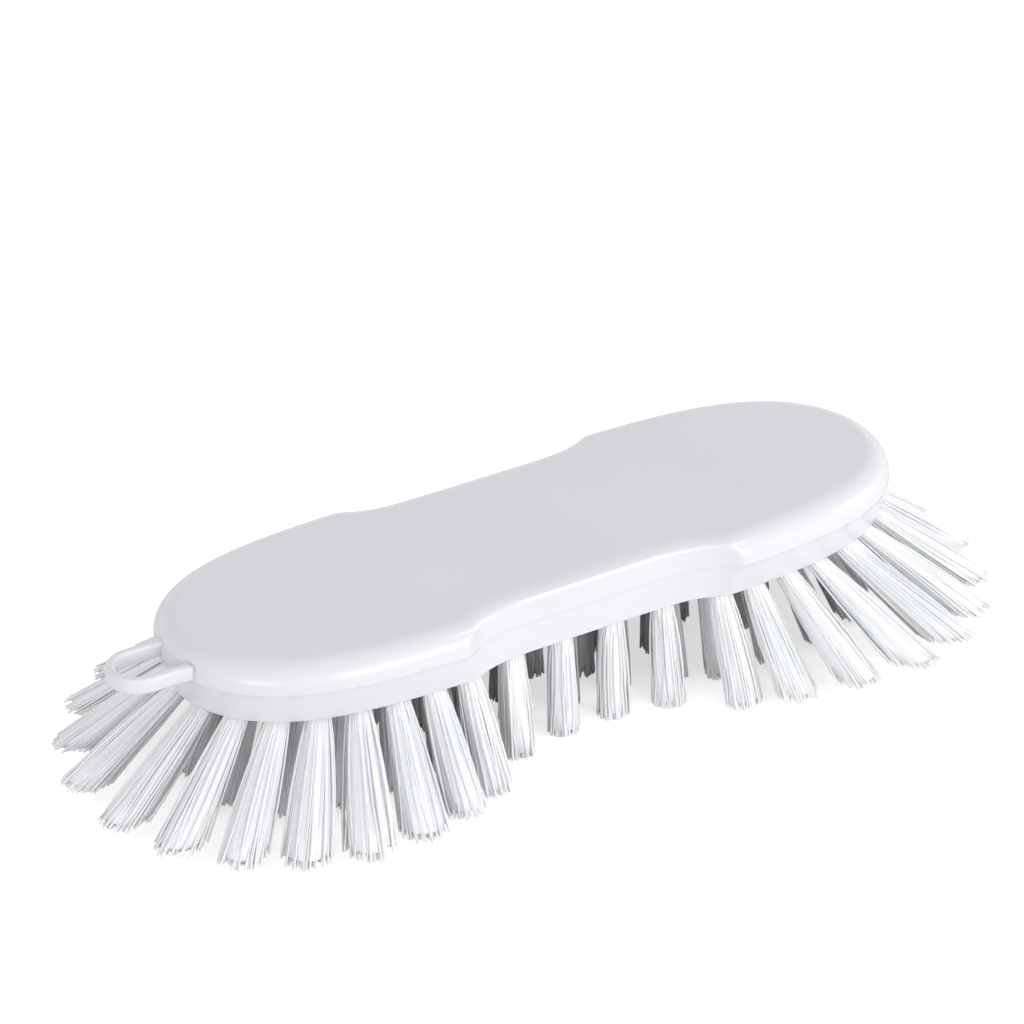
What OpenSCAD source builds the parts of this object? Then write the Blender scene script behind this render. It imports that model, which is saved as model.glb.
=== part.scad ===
// Waisted scrub brush: moulded block with finger recesses and a hanging loop,
// and tufts of filaments folded into blind holes and held by flat metal anchors.
// Millimetres. +X points to the plain end, -Y to the viewer, +Z up, tips on z = 0.

/* [Block] */
// Length of the block without the hanging loop
block_length = 200; // [160:1:240]
// Width over the lobes at the parting line
block_width = 71.4; // [56:0.2:86]
// Thickness from the underside to the flat top
block_thickness = 15.9; // [12:0.1:24]
// Depth of the parting line below the top
parting_depth = 7.1; // [4:0.1:10]
// Exponent of the lobe outline along the length, higher is fuller
oval_exponent = 5.0; // [3:0.1:7]
// Width of the soft top edge on the lobes
lobe_edge_width = 5.8; // [2:0.1:8]
// Height of the soft top edge on the lobes
lobe_edge_height = 5.9; // [2:0.1:7]
// Taper of the lower half on the lobes, measured at the underside
lobe_draft = 2.3; // [0:0.1:5]
// Radius of the edge round the underside
base_edge = 0.6; // [0.2:0.1:1.5]

/* [Finger recesses] */
// Width across the grip between the two recesses
grip_width = 58.8; // [46:0.2:70]
// Distance from the middle to each recess corner
recess_half_length = 38.3; // [30:0.1:50]
// Length of the curved run from the recess floor to its corner
recess_run = 28; // [10:0.5:36]
// Exponent of that run, higher is a later and steeper rise
recess_exponent = 3.9; // [1.5:0.1:5]
// Width of the soft top edge in the recess
grip_edge_width = 5.2; // [1:0.1:7]
// Height of the soft top edge in the recess
grip_edge_height = 2.0; // [1:0.1:6]
// Softness of the upright recess corners
corner_softness = 0.3; // [0.05:0.05:1]

/* [Hanging loop] */
// Outer radius of the loop's round end
loop_outer = 8.1; // [6:0.1:11]
// Width of the loop's band
loop_band = 2.4; // [1.6:0.1:4]
// Height of the loop's band
loop_height = 4.2; // [2.5:0.1:6]
// Rounding of the band's edges
loop_edge = 0.9; // [0.3:0.1:1.1]
// Distance from the block's middle to the centre of the round end
loop_reach = 108; // [104:0.5:114]
// Sideways offset of the loop from the block's centre line
loop_offset = -1.5; // [-4:0.1:4]

/* [Tufts] */
// Length of the upright tufts below the block
trim_length = 28.1; // [18:0.1:40]
// Diameter of the blind tuft holes
hole_d = 6.2; // [4:0.1:7]
// Depth of the tuft holes along their axis
hole_depth = 9; // [6:0.5:12]
// Diameter of a tuft in its hole
root_d = 5.8; // [3.6:0.1:6.6]
// Diameter of an upright tuft at its tips
waist_tip_d = 8.2; // [5:0.1:9]
// Diameter of a flared tuft at its tips, square to its axis
lobe_tip_d = 9.4; // [5:0.1:11]
// Distance of the outer ring of holes from the underside's edge
ring_inset = 4.4; // [3.6:0.1:8]
// Distance between the outer and the second ring
ring_step = 11.3; // [9:0.1:14]
// Holes from the grip to each end, on each side of the outer ring
outer_count = 8; // [5:1:10]
// Spacing of the holes along the grip
grip_pitch = 14.3; // [10:0.1:18]
// Outward flare of the outer ring on the sides of the lobes, in degrees
side_flare = 57; // [0:1:60]
// Outward flare of the outer ring at the ends, in degrees
end_flare = 50; // [0:1:60]
// Share of that flare taken by the second ring
second_share = 0.5; // [0:0.05:1]
// Share of that flare taken by the core tufts
core_share = 0.12; // [0:0.02:0.5]
// How far a flared tuft keeps its length: 0 is cut level, 1 is full length
length_share = 0.58; // [0:0.02:1]

/* [Anchors] */
// Thickness of a flat metal anchor
anchor_t = 0.4; // [0.2:0.05:0.8]
// Width of the anchor wire along the hole
anchor_w = 1.8; // [1:0.1:2.5]

/* [Hidden] */

half_l = block_length / 2;
half_w = block_width / 2;
grip_half = grip_width / 2;
top_z = trim_length + block_thickness;
base_z = trim_length;
// flare starts and settles at these distances from the middle
flare_start = 10;
flare_full = 70;
// the flare turns lengthwise beyond this distance from the middle
fan_start = 38.5;
// how strongly the flare keeps to the sides
fan_bias = 2.0;
// a hole leans by this share of its tuft's flare
hole_lean = 0.35;
anchor_l = hole_d - 0.04;
tuft_sides = 16;
anchor_lift = 0.8;
mouth_over = 3;
leg_lap = 0.02;
leg_run = 4;
plastic = [0.93, 0.935, 0.945];
filament = [0.88, 0.89, 0.91];
steel = [0.72, 0.73, 0.75];

// stations along the outline, inside and outside the recess corner
grip_steps = 11;
lobe_steps = 15;
// depths below the top at which the block's outline is laid
depths = [0, 0.07, 0.28, 0.62, 1.1, 1.6, 2.0, 2.9, 4.3, 5.9, parting_depth,
  block_thickness - base_edge, block_thickness - base_edge * 0.3, block_thickness];

// quarter-ellipse inset of a soft edge at a depth
function edge_inset(d, w, h) = d >= h ? 0 : w * (1 - sqrt(1 - pow(1 - d / h, 2)));
function base_inset(d) = d <= block_thickness - base_edge ? 0
  : base_edge * (1 - sqrt(max(0, 1 - pow((d - block_thickness + base_edge) / base_edge, 2))));
function draft_inset(d) = d <= parting_depth ? 0
  : lobe_draft * (d - parting_depth) / (block_thickness - parting_depth);
function lobe_inset(d) = edge_inset(d, lobe_edge_width, lobe_edge_height) + draft_inset(d)
  + base_inset(d);
function grip_inset(d) = edge_inset(d, grip_edge_width, grip_edge_height) + base_inset(d);

// half width of the full oval, of the recess and of the two together
function oval_y(x, inset) = (half_w - inset)
  * sqrt(max(0, 1 - pow(min(1, abs(x) / (half_l - inset)), oval_exponent)));
corner_y = half_w * sqrt(1 - pow(recess_half_length / half_l, oval_exponent));
function recess_y(x, inset) = grip_half - inset + (corner_y - grip_half)
  * pow(max(0, (abs(x) - recess_half_length + recess_run) / recess_run), recess_exponent);
function soft_min(a, b) = let(m = min(a, b))
  m - corner_softness * ln(exp(-(a - m) / corner_softness) + exp(-(b - m) / corner_softness));
function outline_y(x, lobe_in, grip_in) = abs(x) > recess_half_length + 12
  ? oval_y(x, lobe_in) : soft_min(oval_y(x, lobe_in), recess_y(x, grip_in));

// where the recess meets the oval, found by halving
function corner_x(li, gi, lo, hi, n) = n == 0 ? (lo + hi) / 2
  : let(m = (lo + hi) / 2) oval_y(m, li) > recess_y(m, gi)
  ? corner_x(li, gi, m, hi, n - 1) : corner_x(li, gi, lo, m, n - 1);
function side_x(li, gi) =
  let(c = corner_x(li, gi, recess_half_length - 16, recess_half_length + 10, 24))
  let(a = half_l - li, t0 = asin(c / a))
  concat([for (i = [0 : grip_steps]) c * (1 - pow(1 - i / grip_steps, 1.7))],
    [c + 0.8],
    [for (i = [1 : lobe_steps]) a * sin(t0 + (90 - t0) * i / lobe_steps)]);
// upper side of one outline from the loop end to the plain end
function side(li, gi) = let(xs = side_x(li, gi), n = len(xs))
  [for (i = [1 - n : n - 1]) let(x = sign(i) * xs[abs(i)])
    [x, abs(i) == n - 1 ? 0 : outline_y(x, li, gi)]];
function outline(li, gi) = let(s = side(li, gi), n = len(s))
  concat(s, [for (i = [n - 2 : -1 : 1]) [s[i][0], -s[i][1]]]);

// one closed skin through all the outlines, capped with strips
module block_skin() {
  rings = [for (d = depths) outline(lobe_inset(d), grip_inset(d))];
  n = len(rings[0]);
  m = len(depths);
  h = n / 2;
  points = [for (k = [0 : m - 1]) for (p = rings[k]) [p[0], p[1], top_z - depths[k]]];
  walls = [for (k = [0 : m - 2]) for (i = [0 : n - 1]) let(j = (i + 1) % n)
    for (t = [[k * n + i, k * n + n + j, k * n + j], [k * n + i, k * n + n + i, k * n + n + j]]) t];
  top = [for (i = [0 : h - 1]) let(a = i, b = i + 1, c = n - i - 1, d = (n - i) % n)
    for (t = i == 0 ? [[a, b, c]] : i == h - 1 ? [[a, b, d]] : [[a, c, d], [a, b, c]]) t];
  low = (m - 1) * n;
  bottom = [for (t = top) [low + t[0], low + t[2], low + t[1]]];
  polyhedron(points, concat(walls, top, bottom));
}

// tuft places: arc length along one side of a ring
function ring_side(inset) = side(lobe_draft + inset, inset);
function run(s) = [for (i = 0, d = 0; i < len(s);
  i = i + 1, d = i < len(s) ? d + norm(s[i] - s[i - 1]) : d) d];
function along(s, r, u) = [lookup(u, [for (i = [0 : len(s) - 1]) [r[i], s[i][0]]]),
  lookup(u, [for (i = [0 : len(s) - 1]) [r[i], s[i][1]]])];
function at_x(s, r, x) = lookup(x, [for (i = [0 : len(s) - 1]) [s[i][0], r[i]]]);

outer_side = ring_side(ring_inset);
outer_run = run(outer_side);
second_side = ring_side(ring_inset + ring_step);
second_run = run(second_side);
outer_grip = grip_pitch * 2.5;
second_grip = grip_pitch * 2;
second_count = 6;
outer_reach = at_x(outer_side, outer_run, -outer_grip);
second_reach = at_x(second_side, second_run, -second_grip);
outer_first = 5.2;
second_first = 5.6;

// one quarter, from the end (0) to the grip, as [x, y] with both positive
outer_quarter = [for (k = [0 : outer_count - 1]) let(p = along(outer_side, outer_run,
  outer_first + (outer_reach - outer_first) * k / (outer_count - 1))) [-p[0], p[1]]];
second_quarter = [for (k = [0 : second_count - 1]) let(p = along(second_side, second_run,
  second_first + (second_reach - second_first) * k / (second_count - 1))) [-p[0], p[1]]];
function grip_row(inset, xs) = [for (x = xs) [x, outline_y(x, lobe_draft + inset, inset)]];
outer_waist = grip_row(ring_inset, [for (i = [-1.5 : 1.5]) i * grip_pitch]);
second_waist = grip_row(ring_inset + ring_step, [for (i = [-1 : 1]) i * grip_pitch]);
// the core fills the middle as a zigzag
core_pitch = 11;
core_lobe_y = 4.6;
core_grip_y = 3.2;
core_row = [for (i = [-6 : 6])
  [i * core_pitch, (i % 2 == 0 ? 1 : -1) * (abs(i) > 3 ? core_lobe_y : core_grip_y)]];

function place(q, sx, sy) = [for (p = q) [sx * p[0], sy * p[1]]];
function part_of(q, from, to) = [for (i = [from : to]) q[i]];

// flare of a tuft: direction in plan, angle and height
function bearing(p) = atan2(max(abs(p[0]) - fan_start, 0), fan_bias * abs(p[1]));
function heading(p) = let(b = bearing(p)) [sin(b) * sign(p[0]), cos(b) * sign(p[1])];
function ease(t) = let(c = max(0, min(1, t))) c * c * (3 - 2 * c);
function flare(p, share) = share * ease((abs(p[0]) - flare_start) / (flare_full - flare_start))
  * (side_flare * pow(cos(bearing(p)), 2) + end_flare * pow(sin(bearing(p)), 2));
function drop(a) = trim_length * (1 - length_share * (1 - cos(a)));

// turns +Z down along a direction that leans outwards by an angle
module aim(p, angle) {
  d = heading(p);
  translate([p[0], p[1], base_z])
    rotate([0, 0, atan2(d[1], d[0])])
      rotate([0, 180 - angle, 0])
        children();
}

module hole(p, share) {
  aim(p, flare(p, share) * hole_lean)
    translate([0, 0, -hole_depth])
      cylinder(h = hole_depth + mouth_over, d = hole_d, $fn = 24);
}

// flat wire lying across the hole a little above its floor, its ends at the hole's wall
module anchor(p, share) {
  aim(p, flare(p, share) * hole_lean)
    translate([-anchor_l / 2, -anchor_t / 2, anchor_lift - hole_depth])
      cube([anchor_l, anchor_t, anchor_w]);
}

// a point of one ring of a tuft: along the heading, and square to it
function ring(centre, d, r_along, r_side, tilt) = [for (i = [0 : tuft_sides - 1])
  let(t = 360 * i / tuft_sides, c = r_along * cos(t), w = r_side * sin(t))
  centre + [c * cos(tilt) * d[0] - w * d[1], c * cos(tilt) * d[1] + w * d[0], c * sin(tilt)]];

// folded root in its hole, and the spread of filaments cut level at its tips
module tuft(p, share) {
  a = flare(p, share);
  lean = a * hole_lean;
  d = heading(p);
  fall = drop(a);
  reach = fall * tan(a);
  tip_r = (waist_tip_d + (lobe_tip_d - waist_tip_d) * a / side_flare) / 2;
  mouth = [p[0], p[1], base_z];
  root = mouth + hole_depth * [-sin(lean) * d[0], -sin(lean) * d[1], cos(lean)];
  points = concat(ring(root, d, root_d / 2, root_d / 2, lean),
    ring(mouth, d, root_d / 2 / cos(lean), root_d / 2, 0),
    ring(mouth + [reach * d[0], reach * d[1], -fall], d, tip_r / cos(a), tip_r, 0));
  n = tuft_sides;
  walls = [for (k = [0, n]) for (i = [0 : n - 1]) let(j = (i + 1) % n)
    for (t = [[k + i, k + n + j, k + n + i], [k + i, k + j, k + n + j]]) t];
  difference() {
    polyhedron(points, concat(walls, [[for (i = [n - 1 : -1 : 0]) i]],
      [[for (i = [0 : n - 1]) n * 2 + i]]));
    anchor(p, share);
  }
}

module tufts(places, share) {
  color(filament)
    for (p = places) tuft(p, share);
}

outer_all = concat(place(outer_quarter, 1, 1), place(outer_quarter, 1, -1),
  place(outer_quarter, -1, 1), place(outer_quarter, -1, -1),
  place(outer_waist, 1, 1), place(outer_waist, 1, -1));
second_all = concat(place(second_quarter, 1, 1), place(second_quarter, 1, -1),
  place(second_quarter, -1, 1), place(second_quarter, -1, -1),
  place(second_waist, 1, 1), place(second_waist, 1, -1));

module anchors(places, share) {
  color(steel)
    for (p = places) anchor(p, share);
}

// moulded block with every tuft hole bored from its underside
module block() {
  color(plastic)
    difference() {
      block_skin();
      for (p = outer_all) hole(p, 1);
      for (p = second_all) hole(p, second_share);
      for (p = core_row) hole(p, core_share);
    }
}

// cross-section of the loop's band between two distances from its centre line, edges rounded
module band() {
  inner = loop_outer - loop_band + loop_edge;
  outer = loop_outer - loop_edge;
  high = loop_height - loop_edge;
  corners = [[outer, loop_edge, -90], [outer, high, 0], [inner, high, 90], [inner, loop_edge, 180]];
  polygon([for (c = corners) for (i = [0 : 4])
    [c[0] + loop_edge * cos(c[2] + i * 22.5), c[1] + loop_edge * sin(c[2] + i * 22.5)]]);
}

// flat D moulded on at the parting line, its legs running into the end of the block
module hanging_loop() {
  color(plastic)
    difference() {
      translate([-loop_reach, loop_offset, top_z - parting_depth]) {
        rotate([0, 0, 90])
          rotate_extrude(angle = 180, $fn = 48)
            band();
        for (y = [0, loop_band - loop_outer * 2])
          translate([-leg_lap, y, 0])
            rotate([90, 0, 90])
              linear_extrude(loop_reach - half_l + leg_run)
                band();
      }
      block_skin();
    }
}

module outer_loop_end() tufts(concat(place(part_of(outer_quarter, 0, 1), -1, 1),
  place(part_of(outer_quarter, 0, 1), -1, -1)), 1);
module outer_plain_end() tufts(concat(place(part_of(outer_quarter, 0, 1), 1, 1),
  place(part_of(outer_quarter, 0, 1), 1, -1)), 1);
module outer_loop_front() tufts(place(part_of(outer_quarter, 2, outer_count - 1), -1, -1), 1);
module outer_loop_back() tufts(place(part_of(outer_quarter, 2, outer_count - 1), -1, 1), 1);
module outer_plain_front() tufts(place(part_of(outer_quarter, 2, outer_count - 1), 1, -1), 1);
module outer_plain_back() tufts(place(part_of(outer_quarter, 2, outer_count - 1), 1, 1), 1);
module outer_grip_front() tufts(place(outer_waist, 1, -1), 1);
module outer_grip_back() tufts(place(outer_waist, 1, 1), 1);

module second_loop_end() tufts(concat(place(part_of(second_quarter, 0, 0), -1, 1),
  place(part_of(second_quarter, 0, 0), -1, -1)), second_share);
module second_plain_end() tufts(concat(place(part_of(second_quarter, 0, 0), 1, 1),
  place(part_of(second_quarter, 0, 0), 1, -1)), second_share);
module second_loop_front() tufts(place(part_of(second_quarter, 1, 5), -1, -1), second_share);
module second_loop_back() tufts(place(part_of(second_quarter, 1, 5), -1, 1), second_share);
module second_plain_front() tufts(place(part_of(second_quarter, 1, 5), 1, -1), second_share);
module second_plain_back() tufts(place(part_of(second_quarter, 1, 5), 1, 1), second_share);
module second_grip_front() tufts(place(second_waist, 1, -1), second_share);
module second_grip_back() tufts(place(second_waist, 1, 1), second_share);

module core_loop() tufts(part_of(core_row, 0, 2), core_share);
module core_grip() tufts(part_of(core_row, 3, 9), core_share);
module core_plain() tufts(part_of(core_row, 10, 12), core_share);

module anchors_outer() anchors(outer_all, 1);
module anchors_second() anchors(second_all, second_share);
module anchors_core() anchors(core_row, core_share);

block();
hanging_loop();
outer_loop_end();
outer_loop_front();
outer_loop_back();
outer_grip_front();
outer_grip_back();
outer_plain_front();
outer_plain_back();
outer_plain_end();
second_loop_end();
second_loop_front();
second_loop_back();
second_grip_front();
second_grip_back();
second_plain_front();
second_plain_back();
second_plain_end();
core_loop();
core_grip();
core_plain();
anchors_outer();
anchors_second();
anchors_core();
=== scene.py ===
"""Looks of the scrub brush: moulded block, hanging loop and tufts of single filaments."""

import math

import bpy
import numpy as np
from mathutils import Matrix, Vector


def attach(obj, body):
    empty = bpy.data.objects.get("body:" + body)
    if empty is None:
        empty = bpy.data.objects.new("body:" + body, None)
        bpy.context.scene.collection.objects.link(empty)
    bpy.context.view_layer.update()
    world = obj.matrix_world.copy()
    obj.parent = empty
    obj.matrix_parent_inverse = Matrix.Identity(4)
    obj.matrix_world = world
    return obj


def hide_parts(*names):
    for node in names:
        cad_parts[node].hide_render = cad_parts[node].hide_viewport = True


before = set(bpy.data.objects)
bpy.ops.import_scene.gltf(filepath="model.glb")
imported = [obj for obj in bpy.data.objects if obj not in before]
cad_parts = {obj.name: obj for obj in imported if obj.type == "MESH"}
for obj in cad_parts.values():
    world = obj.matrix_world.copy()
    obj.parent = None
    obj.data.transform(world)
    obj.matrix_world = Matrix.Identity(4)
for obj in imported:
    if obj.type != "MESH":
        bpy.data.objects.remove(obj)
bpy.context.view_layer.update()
MM = 0.001

# Driving sizes of the part's source, in mm.
HALF_L, HALF_W, THICK = 100.0, 35.7, 15.9
PARTING, OVAL_P = 7.1, 5.0
LOBE_EDGE_W, LOBE_EDGE_H, LOBE_DRAFT, BASE_EDGE = 5.8, 5.9, 2.3, 0.6
GRIP, RECESS_X, RECESS_RUN, RECESS_P = 29.4, 38.3, 28.0, 3.9
GRIP_EDGE_W, GRIP_EDGE_H, SOFT = 5.2, 2.0, 0.3
TRIM, HOLE_D, HOLE_DEPTH, ROOT_D = 28.1, 6.2, 9.0, 5.8
WAIST_TIP_D, LOBE_TIP_D = 8.2, 9.4
RING_INSET, RING_STEP, GRIP_PITCH = 4.4, 11.3, 14.3
SIDE_FLARE, END_FLARE = math.radians(57), math.radians(50)
SECOND_SHARE, CORE_SHARE, LENGTH_SHARE, HOLE_LEAN = 0.5, 0.12, 0.58, 0.35
FLARE_START, FLARE_FULL, FAN_START, FAN_BIAS = 10.0, 70.0, 38.5, 2.0
LOOP_OUTER, LOOP_BAND, LOOP_H, LOOP_EDGE = 8.1, 2.4, 4.2, 0.9
LOOP_REACH, LOOP_OFFSET = 108.0, -1.5
TOP_Z, BASE_Z = TRIM + THICK, TRIM

# The strands' own sizes, in mm: how far they keep inside the solids, and stray past them sideways.
MOUTH_MARGIN, TIP_MARGIN, SIDE_STRAY = 0.2, 0.3, 1.6
# Depth of the strands' start in the hole.
STRAND_ROOT = 4
# The bundle inside each tuft: sides of its fluted section, high and low of a flute, and rings to its
# end.
BUNDLE_SIDES, FLUTE_HIGH, FLUTE_LOW = 68, 0.97, 0.90
BUNDLE_STOPS = (0, 0.2, 0.4, 0.6, 0.78, 0.93)
# Start of the loop's legs inside the block, and how far the mould's witness line stands proud.
LEG_START, WITNESS = 98.2, 0.05

# The photo's camera, fitted to the block: focal length in pixels, places in mm, roll in radians.
PHOTO_PX, FOCAL_PX, SENSOR = 1024, 4299.11, 36
CAMERA_AT = (-464.86, -790.40, 511.53 + TOP_Z)
CAMERA_TO = (2.54, 13.50, -3.72 + TOP_Z)
CAMERA_ROLL = -0.03


def linear(hex_colour):
    """An sRGB hex colour as linear RGBA."""
    out = []
    for i in (0, 2, 4):
        c = int(hex_colour[i:i + 2], 16) / 255
        out.append(c / 12.92 if c <= 0.04045 else ((c + 0.055) / 1.055) ** 2.4)
    return (*out, 1.0)


def add_node(tree, kind, settings=None, inputs=None, links=None):
    """One node with its settings, input values and links from other nodes' outputs."""
    n = tree.nodes.new(kind)
    for k, v in (settings or {}).items():
        setattr(n, k, v)
    for k, v in (inputs or {}).items():
        n.inputs[k].default_value = v
    for k, v in (links or {}).items():
        tree.links.new(v, n.inputs[k])
    return n


# Outline of the block
def edge_inset(d, w, h):
    return 0.0 if d >= h else w * (1 - math.sqrt(1 - (1 - d / h) ** 2))


def base_inset(d):
    t = (d - THICK + BASE_EDGE) / BASE_EDGE
    return 0.0 if t <= 0 else BASE_EDGE * (1 - math.sqrt(max(0.0, 1 - t * t)))


def lobe_inset(d):
    draft = max(0.0, d - PARTING) / (THICK - PARTING) * LOBE_DRAFT
    return edge_inset(d, LOBE_EDGE_W, LOBE_EDGE_H) + draft + base_inset(d)


def grip_inset(d):
    return edge_inset(d, GRIP_EDGE_W, GRIP_EDGE_H) + base_inset(d)


def oval_y(x, inset):
    t = min(1.0, abs(x) / (HALF_L - inset))
    return (HALF_W - inset) * math.sqrt(max(0.0, 1 - t ** OVAL_P))


CORNER_Y = HALF_W * math.sqrt(1 - (RECESS_X / HALF_L) ** OVAL_P)


def recess_y(x, inset):
    t = max(0.0, (abs(x) - RECESS_X + RECESS_RUN) / RECESS_RUN)
    return GRIP - inset + (CORNER_Y - GRIP) * t ** RECESS_P


def outline_y(x, li, gi):
    a = oval_y(x, li)
    if abs(x) > RECESS_X + 12:
        return a
    b = recess_y(x, gi)
    m = min(a, b)
    return m - SOFT * math.log(math.exp((m - a) / SOFT) + math.exp((m - b) / SOFT))


def side(li, gi, inner, outer):
    """Upper side of the outline at these insets, from the loop end to the plain end."""
    lo, hi = RECESS_X - 16, RECESS_X + 10
    for _ in range(24):
        mid = (lo + hi) / 2
        if oval_y(mid, li) > recess_y(mid, gi):
            lo = mid
        else:
            hi = mid
    c = (lo + hi) / 2
    a = HALF_L - li
    xs = [c * (1 - (1 - i / inner) ** 2.2) for i in range(inner + 1)]
    xs += [c + 0.25, c + 0.55, c + 1.0, c + 1.6]
    t1 = math.asin((c + 1.6) / a)
    xs += [a * math.sin(t1 + (math.pi / 2 - t1) * i / outer) for i in range(1, outer + 1)]
    right = [(x, outline_y(x, li, gi)) for x in xs]
    right[-1] = (xs[-1], 0.0)
    return [(-x, y) for x, y in right[:0:-1]] + right


def new_object(name, points, faces, smooth=None, scale=MM):
    mesh = bpy.data.meshes.new(name)
    mesh.from_pydata([(p[0] * scale, p[1] * scale, p[2] * scale) for p in points], [], faces)
    mesh.update()
    if smooth is not None:
        mesh.polygons.foreach_set("use_smooth", smooth)
    ob = bpy.data.objects.new(name, mesh)
    bpy.context.scene.collection.objects.link(ob)
    return ob


def block_skin():
    """Fine skin through level outlines; caps stay flat so the top shades as a plane."""
    depths = [LOBE_EDGE_H * (1 - math.cos(math.pi / 2 * i / 22)) for i in range(23)]
    depths += [2.0, 6.4, PARTING - 0.12, PARTING, PARTING + 0.12, 9.0, 12.0, THICK - BASE_EDGE]
    depths += [THICK - BASE_EDGE * (1 - math.sin(math.pi / 2 * i / 6)) for i in range(1, 7)]
    depths = sorted(set(round(d, 4) for d in depths))
    points, rings = [], []
    for d in depths:
        # the witness line of the two mould halves stands a few hundredths proud
        proud = -WITNESS if abs(d - PARTING) < 0.01 else 0.0
        up = side(lobe_inset(d) + proud, grip_inset(d) + proud, 34, 44)
        row = up + [(x, -y) for x, y in up[-2:0:-1]]
        rings.append(len(row))
        points += [(x, y, TOP_Z - d) for x, y in row]
    n = rings[0]
    faces, smooth = [], []
    for k in range(len(depths) - 1):
        for i in range(n):
            j = (i + 1) % n
            faces.append((k * n + i, k * n + j, (k + 1) * n + j, (k + 1) * n + i))
            smooth.append(True)
    half = n // 2
    for low, flip in ((0, False), ((len(depths) - 1) * n, True)):
        for i in range(half):
            a, b, c, d = i, i + 1, (n - i - 1) % n, (n - i) % n
            f = [v for k, v in enumerate((d, c, b, a)) if (d, c, b, a).index(v) == k]
            f = [low + v for v in (f[::-1] if flip else f)]
            faces.append(tuple(f))
            smooth.append(False)
    return points, faces, smooth


# Places of the tufts
def ring_run(inset):
    s = side(LOBE_DRAFT + inset, inset, 60, 80)
    run = [0.0]
    for p, q in zip(s, s[1:]):
        run.append(run[-1] + math.dist(p, q))
    return np.array(s), np.array(run)


def quarter(inset, first, grip_x, count):
    s, run = ring_run(inset)
    end = np.interp(-grip_x, s[:, 0], run)
    us = [first + (end - first) * k / (count - 1) for k in range(count)]
    return [(-np.interp(u, run, s[:, 0]), np.interp(u, run, s[:, 1])) for u in us]


def grip_row(inset, xs):
    return [(x, outline_y(x, LOBE_DRAFT + inset, inset)) for x in xs]


def place(q, sx, sy):
    return [(sx * x, sy * y) for x, y in q]


outer_q = quarter(RING_INSET, 5.2, GRIP_PITCH * 2.5, 8)
second_q = quarter(RING_INSET + RING_STEP, 5.6, GRIP_PITCH * 2, 6)
outer_w = grip_row(RING_INSET, [i * GRIP_PITCH for i in (-1.5, -0.5, 0.5, 1.5)])
second_w = grip_row(RING_INSET + RING_STEP, [i * GRIP_PITCH for i in (-1, 0, 1)])
core = [(i * 11.0, (1 if i % 2 == 0 else -1) * (4.6 if abs(i) > 3 else 3.2))
        for i in range(-6, 7)]


def groups(prefix, q, w, share, ends):
    out = {}
    for word, sx in (("loop", -1), ("plain", 1)):
        tips = q[:ends]
        out[prefix + word + "_end"] = (place(tips, sx, 1) + place(tips, sx, -1), share)
        out[prefix + word + "_front"] = (place(q[ends:], sx, -1), share)
        out[prefix + word + "_back"] = (place(q[ends:], sx, 1), share)
    out[prefix + "grip_front"] = (place(w, 1, -1), share)
    out[prefix + "grip_back"] = (place(w, 1, 1), share)
    return out


TUFTS = {**groups("outer_", outer_q, outer_w, 1.0, 2),
         **groups("second_", second_q, second_w, SECOND_SHARE, 1),
         "core_loop": (core[:3], CORE_SHARE), "core_grip": (core[3:10], CORE_SHARE),
         "core_plain": (core[10:], CORE_SHARE)}


def flare_of(p, share):
    """Heading in plan and flare angle of the tuft at p."""
    b = math.atan2(max(abs(p[0]) - FAN_START, 0), FAN_BIAS * abs(p[1]))
    t = min(1.0, max(0.0, (abs(p[0]) - FLARE_START) / (FLARE_FULL - FLARE_START)))
    t = t * t * (3 - 2 * t)
    angle = share * t * (SIDE_FLARE * math.cos(b) ** 2 + END_FLARE * math.sin(b) ** 2)
    heading = (math.sin(b) * np.sign(p[0]), math.cos(b) * np.sign(p[1]))
    return heading, angle


# Materials
def principled(name, note):
    mat = bpy.data.materials.new(name)
    mat.use_nodes = True
    mat["note"] = note
    tree = mat.node_tree
    return mat, tree, tree.nodes["Principled BSDF"]


def moulded_plastic():
    """White polypropylene: satin gloss, a fine spark-eroded grain and faint flow marks."""
    mat, t, bsdf = principled("moulded_polypropylene", "satin white, soft edges, faint grain")
    where = add_node(t, "ShaderNodeTexCoord").outputs["Object"]
    grain = add_node(t, "ShaderNodeTexNoise", inputs={"Scale": 3200.0, "Detail": 2.0},
                     links={"Vector": where})
    flow = add_node(t, "ShaderNodeTexNoise", inputs={"Scale": 26.0, "Detail": 3.0},
                    links={"Vector": where})
    tint = add_node(t, "ShaderNodeMix", {"data_type": "RGBA"}, links={0: flow.outputs["Fac"]})
    tint.inputs[6].default_value = linear("D9DADD")
    tint.inputs[7].default_value = linear("DFE0E2")
    t.links.new(tint.outputs[2], bsdf.inputs["Base Color"])
    rough = add_node(t, "ShaderNodeMapRange", inputs={"To Min": 0.11, "To Max": 0.17},
                     links={"Value": flow.outputs["Fac"]})
    t.links.new(rough.outputs["Result"], bsdf.inputs["Roughness"])
    sink = add_node(t, "ShaderNodeBump", inputs={"Strength": 0.10, "Distance": 0.0006},
                    links={"Height": flow.outputs["Fac"]})
    bump = add_node(t, "ShaderNodeBump", inputs={"Strength": 0.10, "Distance": 0.00003},
                    links={"Height": grain.outputs["Fac"], "Normal": sink.outputs["Normal"]})
    t.links.new(bump.outputs["Normal"], bsdf.inputs["Normal"])
    bsdf.inputs["IOR"].default_value = 1.49
    bsdf.inputs["Subsurface Weight"].default_value = 0.12
    bsdf.inputs["Subsurface Radius"].default_value = (0.004, 0.004, 0.0045)
    bsdf.inputs["Subsurface Scale"].default_value = 0.5
    return mat


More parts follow.
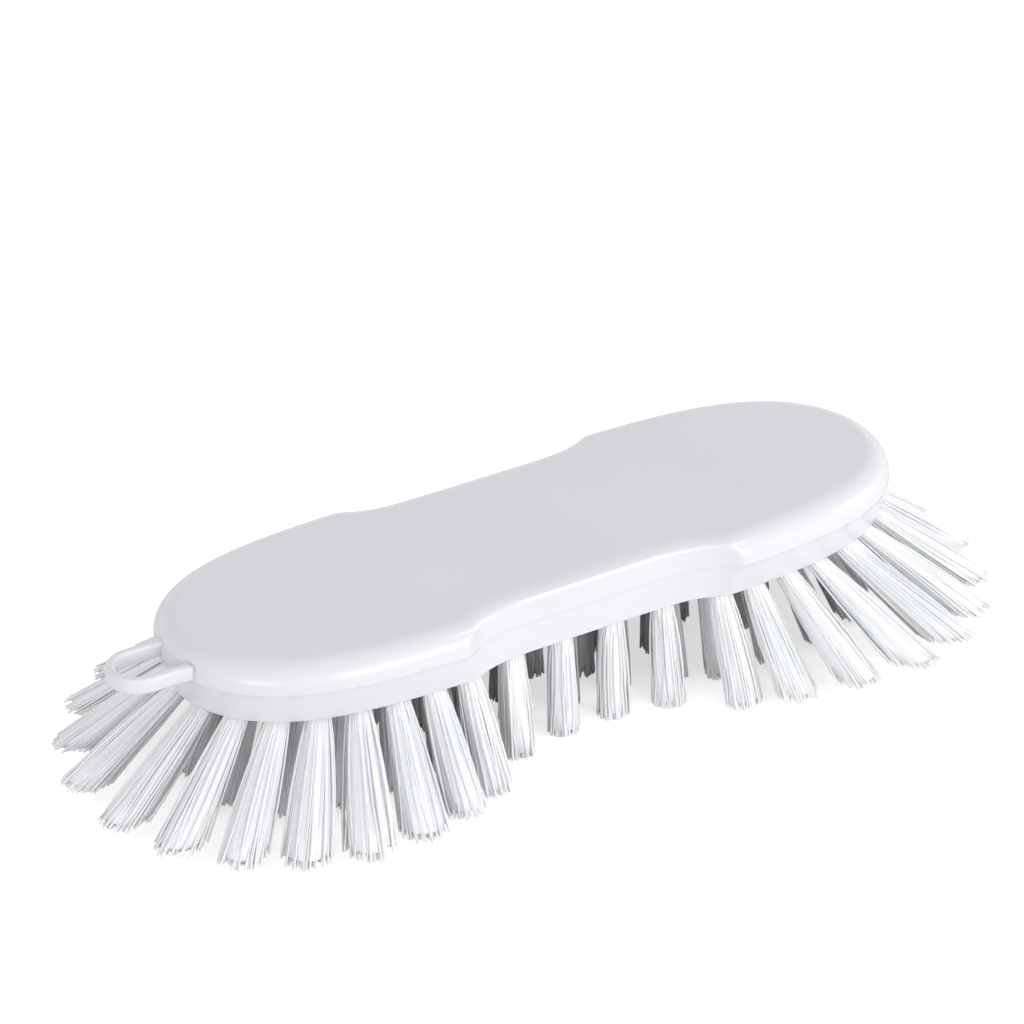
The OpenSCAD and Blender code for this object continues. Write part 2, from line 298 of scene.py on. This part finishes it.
def filament_plastic(name, passing):
    """White filament: gloss along each strand, and a share of the light passing through."""
    mat, t, bsdf = principled(name, "glossy translucent white strands")
    shade = add_node(t, "ShaderNodeAttribute", {"attribute_name": "strand"}).outputs["Fac"]
    tint = add_node(t, "ShaderNodeMix", {"data_type": "RGBA"}, links={0: shade})
    tint.inputs[6].default_value = linear("F8F9FB")
    tint.inputs[7].default_value = linear("FFFFFF")
    t.links.new(tint.outputs[2], bsdf.inputs["Base Color"])
    rough = add_node(t, "ShaderNodeMapRange", inputs={"To Min": 0.22, "To Max": 0.42},
                     links={"Value": shade})
    t.links.new(rough.outputs["Result"], bsdf.inputs["Roughness"])
    bsdf.inputs["IOR"].default_value = 1.57
    bsdf.inputs["Coat Weight"].default_value = 0.25
    bsdf.inputs["Coat Roughness"].default_value = 0.18
    # light passes on from strand to strand, so a bundle stays white to its middle
    through = add_node(t, "ShaderNodeBsdfTranslucent", inputs={"Color": linear("FFFFFF")})
    mix = add_node(t, "ShaderNodeMixShader", inputs={0: passing},
                   links={1: bsdf.outputs[0], 2: through.outputs[0]})
    t.links.new(mix.outputs[0], t.nodes["Material Output"].inputs["Surface"])
    return mat


def anchor_steel():
    """Flat wire: drawn along its length, dull grey."""
    mat, t, bsdf = principled("anchor_wire_steel", "drawn flat wire")
    where = add_node(t, "ShaderNodeTexCoord").outputs["Object"]
    drawn = add_node(t, "ShaderNodeTexNoise", inputs={"Scale": 1800.0}, links={"Vector": where})
    rough = add_node(t, "ShaderNodeMapRange", inputs={"To Min": 0.28, "To Max": 0.5},
                     links={"Value": drawn.outputs["Fac"]})
    t.links.new(rough.outputs["Result"], bsdf.inputs["Roughness"])
    bsdf.inputs["Base Color"].default_value = linear("B4B6BA")
    bsdf.inputs["Metallic"].default_value = 1.0
    return mat


PLASTIC, STEEL = moulded_plastic(), anchor_steel()
FILAMENT = filament_plastic("polyester_filament", 0.1)
BUNDLE = filament_plastic("polyester_filament_bundle", 0.0)


# Block
def cutter(places):
    """Round holes for all the tufts as one mesh of separate closed cylinders."""
    points, faces = [], []
    n = 28
    for p, share in places:
        h, angle = flare_of(p, share)
        lean = angle * HOLE_LEAN
        axis = Vector((-math.sin(lean) * h[0], -math.sin(lean) * h[1], math.cos(lean)))
        along = Vector((math.cos(lean) * h[0], math.cos(lean) * h[1], math.sin(lean)))
        across = axis.cross(along)
        mouth = Vector((p[0], p[1], BASE_Z))
        first = len(points)
        for reach in (-3.0, HOLE_DEPTH):
            for i in range(n):
                a = 2 * math.pi * i / n
                points.append(mouth + axis * reach
                              + (along * math.cos(a) + across * math.sin(a)) * HOLE_D / 2)
        for i in range(n):
            j = (i + 1) % n
            faces.append((first + i, first + j, first + n + j, first + n + i))
        faces.append(tuple(first + i for i in reversed(range(n))))
        faces.append(tuple(first + n + i for i in range(n)))
    return new_object("cutter", points, faces)


def plain_copy(ob, name, mat):
    """The evaluated object as a new plain mesh object, its source removed."""
    dg = bpy.context.evaluated_depsgraph_get()
    dg.update()
    mesh = bpy.data.meshes.new_from_object(ob.evaluated_get(dg), depsgraph=dg)
    mesh.name = name
    mesh.materials.clear()
    mesh.materials.append(mat)
    old = ob.data
    bpy.data.objects.remove(ob)
    bpy.data.meshes.remove(old)
    out = bpy.data.objects.new(name, mesh)
    bpy.context.scene.collection.objects.link(out)
    return out


places = [(p, share) for spots, share in TUFTS.values() for p in spots]
skin = new_object("block_skin", *block_skin())
tool = cutter(places)
cut = skin.modifiers.new("holes", "BOOLEAN")
cut.operation, cut.solver, cut.object = "DIFFERENCE", "EXACT", tool
block = plain_copy(skin, "block_moulding", PLASTIC)
bpy.data.objects.remove(tool)
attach(block, "root")
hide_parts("block")


# Hanging loop
def loop_mesh():
    """The D-shaped band swept round its path, its legs spreading a little into the block."""
    mid, half = LOOP_OUTER - LOOP_BAND / 2, LOOP_BAND / 2
    path = []
    for i in range(13):
        x = -LEG_START - (LOOP_REACH - LEG_START) * i / 12
        path.append((x, mid, 0, 1))
    for i in range(1, 48):
        a = math.pi * i / 48
        path.append((-LOOP_REACH - mid * math.sin(a), mid * math.cos(a),
                     -math.sin(a), math.cos(a)))
    path += [(x, -y, nx, -ny) for x, y, nx, ny in path[12::-1]]
    profile = []
    for cx, cz, start in ((1, -1, -90), (1, 1, 0), (-1, 1, 90), (-1, -1, 180)):
        for i in range(7):
            a = math.radians(start + i * 15)
            profile.append((cx * (half - LOOP_EDGE) + LOOP_EDGE * math.cos(a),
                            cz * (LOOP_H / 2 - LOOP_EDGE) + LOOP_EDGE * math.sin(a)))
    points = []
    mid_z = TOP_Z - PARTING + LOOP_H / 2
    for x, y, nx, ny in path:
        flare = 1 + 0.5 * max(0.0, 1 - (-98.6 - x) / 3.0) ** 2 if x > -101.6 else 1.0
        for u, w in profile:
            points.append((x + nx * u * flare, LOOP_OFFSET + y + ny * u * flare, mid_z + w))
    n, m = len(profile), len(path)
    faces = [(k * n + i, (k + 1) * n + i, (k + 1) * n + (i + 1) % n, k * n + (i + 1) % n)
             for k in range(m - 1) for i in range(n)]
    faces += [tuple(range(n)), tuple((m - 1) * n + i for i in reversed(range(n)))]
    return points, faces, [True] * (len(faces) - 2) + [False, False]


loop = new_object("hanging_loop_band", *loop_mesh())
loop.data.materials.append(PLASTIC)
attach(loop, "root")
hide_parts("hanging_loop")


# Filaments
def named(tree, name, kind):
    n = add_node(tree, "GeometryNodeInputNamedAttribute", {"data_type": kind})
    n.inputs["Name"].default_value = name
    return n.outputs["Attribute"]


def math_node(tree, op, a, b=None, c=None, clamp=False):
    n = add_node(tree, "ShaderNodeMath", {"operation": op, "use_clamp": clamp})
    for i, v in enumerate((a, b, c)):
        if isinstance(v, (int, float)):
            n.inputs[i].default_value = v
        elif v is not None:
            tree.links.new(v, n.inputs[i])
    return n.outputs[0]


def vector_node(tree, op, a, b=None, scale=None):
    n = add_node(tree, "ShaderNodeVectorMath", {"operation": op})
    for i, v in enumerate((a, b)):
        if isinstance(v, (tuple, list)):
            n.inputs[i].default_value = v
        elif v is not None:
            tree.links.new(v, n.inputs[i])
    if isinstance(scale, (int, float)):
        n.inputs["Scale"].default_value = scale
    elif scale is not None:
        tree.links.new(scale, n.inputs["Scale"])
    return n.outputs[0]


def random_vector(tree, low, high, ident, seed, plus):
    n = add_node(tree, "FunctionNodeRandomValue", {"data_type": "FLOAT_VECTOR"})
    n.inputs["Min"].default_value = low
    n.inputs["Max"].default_value = high
    tree.links.new(ident, n.inputs["ID"])
    tree.links.new(math_node(tree, "ADD", seed, plus), n.inputs["Seed"])
    return n.outputs["Value"]


def filament_tree():
    """Each point of the input is one tuft; it becomes a bundle of strands fanning to its tips.

    The strands sit on a sunflower spiral, so mouth and tip places match strand by strand.
    """
    g = bpy.data.node_groups.new("tuft_filaments", "GeometryNodeTree")
    face = g.interface
    face.new_socket("Tufts", in_out="INPUT", socket_type="NodeSocketGeometry")
    for name, kind, value in (
            ("Strands", "Int", 120), ("Strand Radius", "Float", 0.00024),
            ("Segments", "Int", 7), ("Sides", "Int", 4), ("Bow", "Float", 0.0006),
            ("Splay", "Float", 0.0006), ("Ragged", "Float", 0.012), ("Seed", "Int", 7)):
        s = face.new_socket(name, in_out="INPUT", socket_type="NodeSocket" + kind)
        s.default_value = value
    face.new_socket("Material", in_out="INPUT", socket_type="NodeSocketMaterial")
    face.new_socket("Filaments", in_out="OUTPUT", socket_type="NodeSocketGeometry")
    gin = g.nodes.new("NodeGroupInput").outputs
    gout = g.nodes.new("NodeGroupOutput")
    dup = add_node(g, "GeometryNodeDuplicateElements", {"domain": "POINT"},
                   links={"Geometry": gin["Tufts"], "Amount": gin["Strands"]})
    number = dup.outputs["Duplicate Index"]
    index = g.nodes.new("GeometryNodeInputIndex").outputs["Index"]
    seed = gin["Seed"]
    share = math_node(g, "DIVIDE", math_node(g, "ADD", number, 0.5), gin["Strands"])
    far = math_node(g, "SQRT", share)
    turn = math_node(g, "MULTIPLY", number, 2.399963)
    jitter = random_vector(g, (-1, -1, -1), (1, 1, 1), index, seed, 1)
    jit = add_node(g, "ShaderNodeSeparateXYZ", links={0: jitter}).outputs
    turn = math_node(g, "ADD", turn, math_node(g, "MULTIPLY", jit[0], 0.35))
    a = math_node(g, "MULTIPLY", far, math_node(g, "COSINE", turn))
    b = math_node(g, "MULTIPLY", far, math_node(g, "SINE", turn))
    spot = add_node(g, "ShaderNodeCombineXYZ", links={0: a, 1: b, 2: jit[2]}).outputs[0]
    bow = random_vector(g, (-1, -1, -1), (1, 1, 1), index, seed, 2)
    tone = add_node(g, "FunctionNodeRandomValue", {"data_type": "FLOAT"},
                    links={"ID": index, "Seed": seed}).outputs[1]
    geo = dup.outputs["Geometry"]
    for name, kind, value in (("spot", "FLOAT_VECTOR", spot), ("jitter", "FLOAT_VECTOR", jitter),
                              ("bow", "FLOAT_VECTOR", bow), ("strand", "FLOAT", tone)):
        keep = add_node(g, "GeometryNodeStoreNamedAttribute",
                        {"data_type": kind, "domain": "POINT"}, links={"Geometry": geo})
        keep.inputs["Name"].default_value = name
        g.links.new(value, keep.inputs["Value"])
        geo = keep.outputs["Geometry"]
    line = add_node(g, "GeometryNodeCurvePrimitiveLine")
    fine = add_node(g, "GeometryNodeResampleCurve",
                    links={"Curve": line.outputs["Curve"], "Count": gin["Segments"]})
    inst = add_node(g, "GeometryNodeInstanceOnPoints",
                    links={"Points": geo, "Instance": fine.outputs["Curve"]})
    real = add_node(g, "GeometryNodeRealizeInstances", links={"Geometry": inst.outputs[0]})
    # shape every strand: out of the hole, through its place in the mouth, to its place at the tips
    f = g.nodes.new("GeometryNodeSplineParameter").outputs["Factor"]
    first = math_node(g, "DIVIDE", 1.0, math_node(g, "SUBTRACT", gin["Segments"], 1.0))
    out = math_node(g, "DIVIDE", math_node(g, "SUBTRACT", f, first),
                    math_node(g, "SUBTRACT", 1.0, first), clamp=True)
    inside = math_node(g, "SUBTRACT", 1.0, math_node(g, "DIVIDE", f, first), clamp=True)
    sp = add_node(g, "ShaderNodeSeparateXYZ", links={0: named(g, "spot", "FLOAT_VECTOR")}).outputs

    def plane(first_axis, second_axis):
        return vector_node(
            g, "ADD",
            vector_node(g, "SCALE", named(g, first_axis, "FLOAT_VECTOR"), scale=sp[0]),
            vector_node(g, "SCALE", named(g, second_axis, "FLOAT_VECTOR"), scale=sp[1]))

    mouth = vector_node(g, "ADD", named(g, "place", "FLOAT_VECTOR"), plane("mouth_u", "mouth_v"))
    tip = vector_node(g, "ADD", named(g, "tip", "FLOAT_VECTOR"), plane("tip_u", "tip_v"))
    spread = vector_node(g, "MULTIPLY", named(g, "jitter", "FLOAT_VECTOR"), (1, 1, 0))
    tip = vector_node(g, "ADD", tip, vector_node(g, "SCALE", spread, scale=gin["Splay"]))
    span = vector_node(g, "SUBTRACT", tip, mouth)
    cut_at = math_node(g, "MULTIPLY_ADD", sp[2], gin["Ragged"],
                       math_node(g, "SUBTRACT", 1.0, gin["Ragged"]))
    span = vector_node(g, "SCALE", span, scale=math_node(g, "MULTIPLY", out, cut_at))
    arch = math_node(g, "MULTIPLY", math_node(g, "MULTIPLY", out, math_node(g, "SUBTRACT", 1.0, out)),
                     math_node(g, "MULTIPLY", gin["Bow"], 4.0))
    bend = vector_node(g, "SCALE", named(g, "bow", "FLOAT_VECTOR"), scale=arch)
    up = vector_node(g, "SCALE", named(g, "inward", "FLOAT_VECTOR"), scale=inside)
    where = vector_node(g, "ADD", vector_node(g, "ADD", mouth, span), vector_node(g, "ADD", bend, up))
    put = add_node(g, "GeometryNodeSetPosition",
                   links={"Geometry": real.outputs["Geometry"], "Position": where})
    ring = add_node(g, "GeometryNodeCurvePrimitiveCircle", {"mode": "RADIUS"},
                    links={"Resolution": gin["Sides"], "Radius": gin["Strand Radius"]})
    tube = add_node(g, "GeometryNodeCurveToMesh",
                    links={"Curve": put.outputs["Geometry"], "Profile Curve": ring.outputs["Curve"]})
    tube.inputs["Fill Caps"].default_value = True
    smooth = add_node(g, "GeometryNodeSetShadeSmooth", links={"Geometry": tube.outputs["Mesh"]})
    done = add_node(g, "GeometryNodeRealizeInstances", links={"Geometry": smooth.outputs["Geometry"]})
    coat = add_node(g, "GeometryNodeSetMaterial",
                    links={"Geometry": done.outputs["Geometry"], "Material": gin["Material"]})
    g.links.new(coat.outputs["Geometry"], gout.inputs[0])
    return g


# What each tuft hands to its strands, in the order that tuft_axes gives it.
KEYS = ("place", "mouth_u", "mouth_v", "tip", "tip_u", "tip_v", "inward")


def tuft_axes(p, share):
    """Mouth and tips of one tuft, each with its two half axes, and the way into the hole."""
    h, angle = flare_of(p, share)
    head, across = Vector((*h, 0)), Vector((-h[1], h[0], 0))
    lean = angle * HOLE_LEAN
    fall = TRIM * (1 - LENGTH_SHARE * (1 - math.cos(angle)))
    wide = angle / SIDE_FLARE
    tip_r = (WAIST_TIP_D + (LOBE_TIP_D - WAIST_TIP_D) * wide) / 2 - TIP_MARGIN
    mouth = Vector((*p, BASE_Z))
    mouth_r = ROOT_D / 2 - MOUTH_MARGIN
    into = Vector((-math.sin(lean) * h[0], -math.sin(lean) * h[1], math.cos(lean)))
    return (mouth, head * mouth_r, across * mouth_r,
            mouth + head * fall * math.tan(angle) - Vector((0, 0, fall)),
            # the strands of a flared tuft also stray sideways past its nominal tip circle
            head * tip_r / math.cos(angle), across * (tip_r + SIDE_STRAY * wide),
            into * STRAND_ROOT)


def bundle_body(name, spots, share):
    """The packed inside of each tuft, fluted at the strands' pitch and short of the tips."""
    points, faces = [], []
    n = BUNDLE_SIDES
    for p in spots:
        mouth, mu, mv, tip, tu, tv, inward = tuft_axes(p, share)
        first = len(points)
        rings = [(mouth + inward, mu, mv)]
        rings += [(mouth.lerp(tip, t), mu.lerp(tu, t), mv.lerp(tv, t)) for t in BUNDLE_STOPS]
        for centre, u, v in rings:
            for i in range(n):
                a = 2 * math.pi * i / n
                r = FLUTE_HIGH if i % 2 else FLUTE_LOW
                points.append(centre + (u * math.cos(a) + v * math.sin(a)) * r)
        for k in range(len(rings) - 1):
            for i in range(n):
                a, b = first + k * n + i, first + k * n + (i + 1) % n
                faces.append((a, a + n, b + n, b))
        faces.append(tuple(first + i for i in range(n)))
        faces.append(tuple(first + (len(rings) - 1) * n + i for i in reversed(range(n))))
    return new_object(name + "_body", points, faces, [True] * len(faces))


def tuft_points(name, spots, share):
    """One vertex a tuft, with its mouth, its tips and the hole's direction as attributes."""
    data = {k: [] for k in KEYS}
    for p in spots:
        for k, v in zip(KEYS, tuft_axes(p, share)):
            data[k] += [c * MM for c in v]
    mesh = bpy.data.meshes.new(name)
    mesh.from_pydata([Vector((*p, BASE_Z)) * MM for p in spots], [], [])
    for k in KEYS:
        at = mesh.attributes.new(k, "FLOAT_VECTOR", "POINT")
        at.data.foreach_set("vector", data[k])
    ob = bpy.data.objects.new(name + "_guides", mesh)
    bpy.context.scene.collection.objects.link(ob)
    return ob


TREE = filament_tree()
SOCKETS = {s.name: s.identifier for s in TREE.interface.items_tree
           if s.item_type == "SOCKET" and s.in_out == "INPUT"}


def strands(name, spots, share, settings):
    ob = tuft_points(name, spots, share)
    mod = ob.modifiers.new("filaments", "NODES")
    mod.node_group = TREE
    for key, value in settings.items():
        mod[SOCKETS[key]] = value
    mod[SOCKETS["Material"]] = FILAMENT
    body = bundle_body(name, spots, share)
    body.data.materials.append(BUNDLE)
    for piece in (plain_copy(ob, name + "_filaments", FILAMENT), body):
        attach(piece, "root")
        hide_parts(name)


for i, (name, (spots, share)) in enumerate(TUFTS.items()):
    outer = name.startswith("outer")
    strands(name, spots, share, {
        "Strands": 190 if outer else 130, "Strand Radius": 0.00028 if outer else 0.00030,
        "Segments": 7 if outer else 5, "Sides": 4, "Bow": 0.0007 if outer else 0.0004,
        "Splay": 0.0005, "Ragged": 0.012, "Seed": 11 + i})

for name in ("anchors_outer", "anchors_second", "anchors_core"):
    ob = bpy.data.objects[name]
    ob.data.materials.clear()
    ob.data.materials.append(STEEL)


# Camera, light and floor
def camera():
    """The photo's view, from the camera fit to the block's outline."""
    data = bpy.data.cameras.new("camera")
    data.lens = SENSOR * FOCAL_PX / PHOTO_PX
    data.sensor_width = SENSOR
    data.clip_start, data.clip_end = 0.05, 20
    ob = bpy.data.objects.new("camera", data)
    at = Vector(CAMERA_AT) * MM
    to = Vector(CAMERA_TO) * MM
    ahead = (to - at).normalized()
    right = ahead.cross(Vector((0, 0, 1))).normalized()
    up = right.cross(ahead)
    turned = right * math.cos(CAMERA_ROLL) + up * math.sin(CAMERA_ROLL)
    raised = up * math.cos(CAMERA_ROLL) - right * math.sin(CAMERA_ROLL)
    axes = Matrix((turned, raised, -ahead)).transposed().to_4x4()
    ob.matrix_world = Matrix.Translation(at) @ axes
    bpy.context.scene.collection.objects.link(ob)
    bpy.context.scene.camera = ob


def lamp(name, at, to, size, power, size_y=None, colour="FFFFFF"):
    data = bpy.data.lights.new(name, "AREA")
    data.shape, data.size, data.size_y = "RECTANGLE", size, size_y or size
    data.energy, data.color = power, linear(colour)[:3]
    ob = bpy.data.objects.new(name, data)
    ob.location = at
    ob.rotation_euler = (Vector(to) - Vector(at)).to_track_quat("-Z", "Y").to_euler()
    bpy.context.scene.collection.objects.link(ob)
    return ob


def surroundings():
    """White to the camera; a softer fill for the rest, strongest near the horizon."""
    world = bpy.data.worlds.new("studio")
    world.use_nodes = True
    t = world.node_tree
    t.nodes.clear()
    ray = add_node(t, "ShaderNodeLightPath").outputs
    seen = add_node(t, "ShaderNodeMath", {"operation": "MAXIMUM"},
                    links={0: ray["Is Camera Ray"], 1: ray["Is Transmission Ray"]})
    # a white sweep is brightest near the horizon, so light reaches in between the tufts
    way = add_node(t, "ShaderNodeTexCoord").outputs["Generated"]
    high = add_node(t, "ShaderNodeSeparateXYZ", links={0: way}).outputs["Z"]
    level = add_node(t, "ShaderNodeMapRange", inputs={"To Min": 1.33, "To Max": 0.50},
                     links={"Value": high})
    fill = add_node(t, "ShaderNodeBackground", inputs={"Color": linear("F7F8FA")},
                    links={"Strength": level.outputs["Result"]})
    shown = add_node(t, "ShaderNodeBackground", inputs={"Color": (1, 1, 1, 1), "Strength": 1.0})
    mix = add_node(t, "ShaderNodeMixShader", links={0: seen.outputs[0], 1: fill.outputs[0],
                                                    2: shown.outputs[0]})
    end = add_node(t, "ShaderNodeOutputWorld", links={"Surface": mix.outputs[0]})
    end.is_active_output = True
    bpy.context.scene.world = world


def floor():
    """Plain white floor that reads as white to the camera and still takes a soft shadow."""
    size = 6.0
    ob = new_object("floor", [(-size, -size, 0), (size, -size, 0), (size, size, 0),
                              (-size, size, 0)], [(0, 1, 2, 3)], scale=1.0)
    mat, t, bsdf = principled("studio_floor", "plain white paper")
    bsdf.inputs["Base Color"].default_value = linear("F4F4F4")
    bsdf.inputs["Roughness"].default_value = 0.9
    bsdf.inputs["Specular IOR Level"].default_value = 0.0
    ray = add_node(t, "ShaderNodeLightPath").outputs["Is Camera Ray"]
    glow = add_node(t, "ShaderNodeMath", {"operation": "MULTIPLY"}, inputs={1: 0.6}, links={0: ray})
    bsdf.inputs["Emission Color"].default_value = (1, 1, 1, 1)
    t.links.new(glow.outputs[0], bsdf.inputs["Emission Strength"])
    ob.data.materials.append(mat)


camera()
surroundings()
floor()
lamp("key", (0.3, -1.45, 0.42), (0, 0, 0.02), 1.0, 6.6, 0.6)
lamp("right", (1.3, -0.5, 0.35), (0, 0, 0.02), 0.6, 2.8)
lamp("low_left", (-1.2, -0.9, 0.3), (-0.08, 0, 0.01), 0.7, 2.6, 0.4)
lamp("window", (0.7, -0.78, 1.2), (0, 0, 0.04), 0.15, 2.2)

scene = bpy.context.scene
scene.view_settings.view_transform = "Standard"
